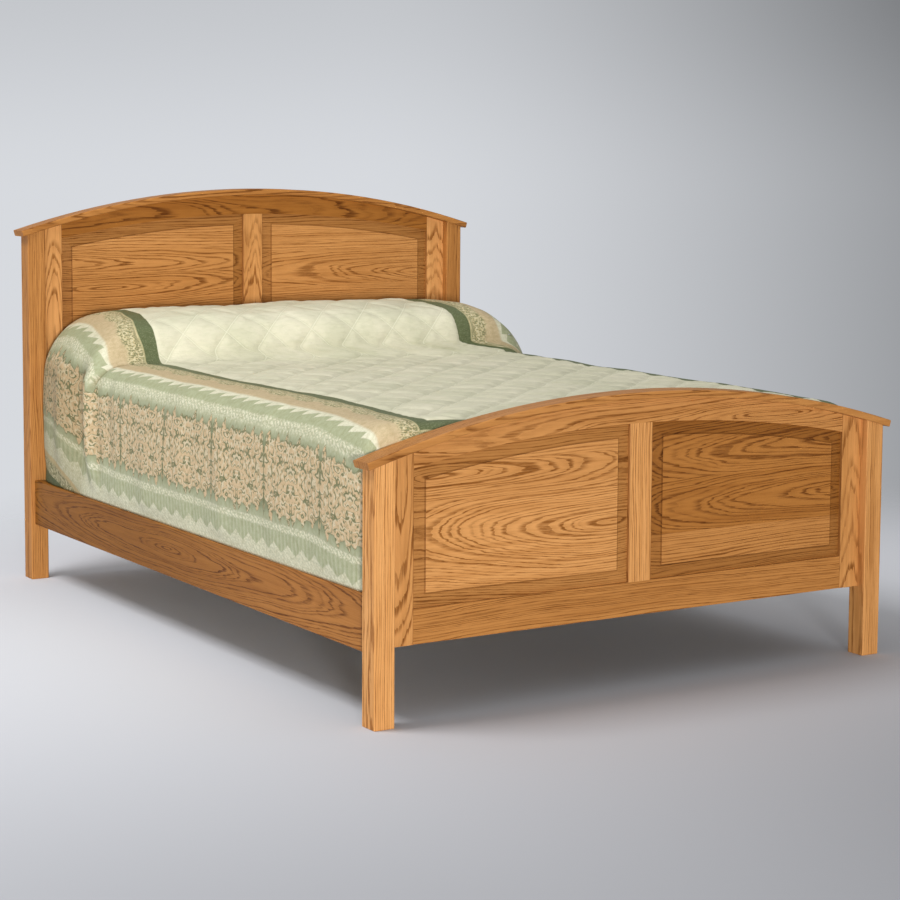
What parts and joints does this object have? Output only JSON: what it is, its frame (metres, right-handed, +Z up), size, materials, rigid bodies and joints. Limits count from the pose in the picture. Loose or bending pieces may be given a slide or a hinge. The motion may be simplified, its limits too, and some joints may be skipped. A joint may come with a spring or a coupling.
{
  "type": "panel bed",
  "caption": "Wooden panel bed with arched head- and footboard, raised panels, side rails on hooks, slats, mattress, pillows and a quilted coverlet.",
  "frame": {"origin": "on the floor, under the middle of the bed", "axes": "+X across the bed to the sleeper's left lying on the back, +Y from the footboard to the headboard, +Z up"},
  "size_m": [1.6512, 2.228, 1.2321],
  "materials": {
    "oak": "satin",
    "oak_cap": "satin",
    "support_wood": "matte",
    "plated_steel": "satin",
    "screw_steel": "satin",
    "pad_nylon": "matte",
    "ticking": "matte",
    "pillow_cotton": "matte",
    "coverlet": "matte"
  },
  "bodies": {
    "root": {"box_spring": "ticking", "cap_dowels": "support_wood", "catch_plate_screws": "screw_steel", "centre_beam": "support_wood", "centre_beam_screws": "screw_steel", "centre_leg_front": "support_wood", "centre_leg_rear": "support_wood", "coverlet": "coverlet", "footboard_bottom_rail": "oak", "footboard_cap": "oak_cap", "footboard_mullion": "oak", "footboard_panel_left": "oak", "footboard_panel_right": "oak", "footboard_post_left": "oak", "footboard_post_right": "oak", "footboard_stile_left": "oak", "footboard_stile_right": "oak", "footboard_top_rail": "oak", "glide_insert_front": "plated_steel", "glide_insert_rear": "plated_steel", "headboard_bottom_rail": "oak", "headboard_cap": "oak_cap", "headboard_mullion": "oak", "headboard_panel_left": "oak", "headboard_panel_right": "oak", "headboard_post_left": "oak", "headboard_post_right": "oak", "headboard_stile_left": "oak", "headboard_stile_right": "oak", "headboard_top_rail": "oak", "hook_plate_screws": "screw_steel", "ledger_screws": "screw_steel", "mattress": "ticking", "pillow_left": "pillow_cotton", "pillow_right": "pillow_cotton", "post_catch_plate_foot_left": "plated_steel", "post_catch_plate_foot_right": "plated_steel", "post_catch_plate_head_left": "plated_steel", "post_catch_plate_head_right": "plated_steel", "rail_hook_plate_foot_left": "plated_steel", "rail_hook_plate_foot_right": "plated_steel", "rail_hook_plate_head_left": "plated_steel", "rail_hook_plate_head_right": "plated_steel", "side_rail_left": "oak", "side_rail_right": "oak", "slat_1": "support_wood", "slat_2": "support_wood", "slat_3": "support_wood", "slat_4": "support_wood", "slat_5": "support_wood", "slat_6": "support_wood", "slat_7": "support_wood", "slat_ledger_left": "support_wood", "slat_ledger_right": "support_wood", "slat_screws": "screw_steel"},
    "glide_front": {"glide_stud_front": "plated_steel", "glide_pad_front": "pad_nylon"},
    "glide_rear": {"glide_stud_rear": "plated_steel", "glide_pad_rear": "pad_nylon"}
  },
  "joints": [
    {"name": "front_glide_travel", "type": "slide", "parent": "root", "child": "glide_front", "axis": [0, 0, -1], "range_m": [-0.008, 0.012]},
    {"name": "rear_glide_travel", "type": "slide", "parent": "root", "child": "glide_rear", "axis": [0, 0, -1], "range_m": [-0.008, 0.012]}
  ]
}
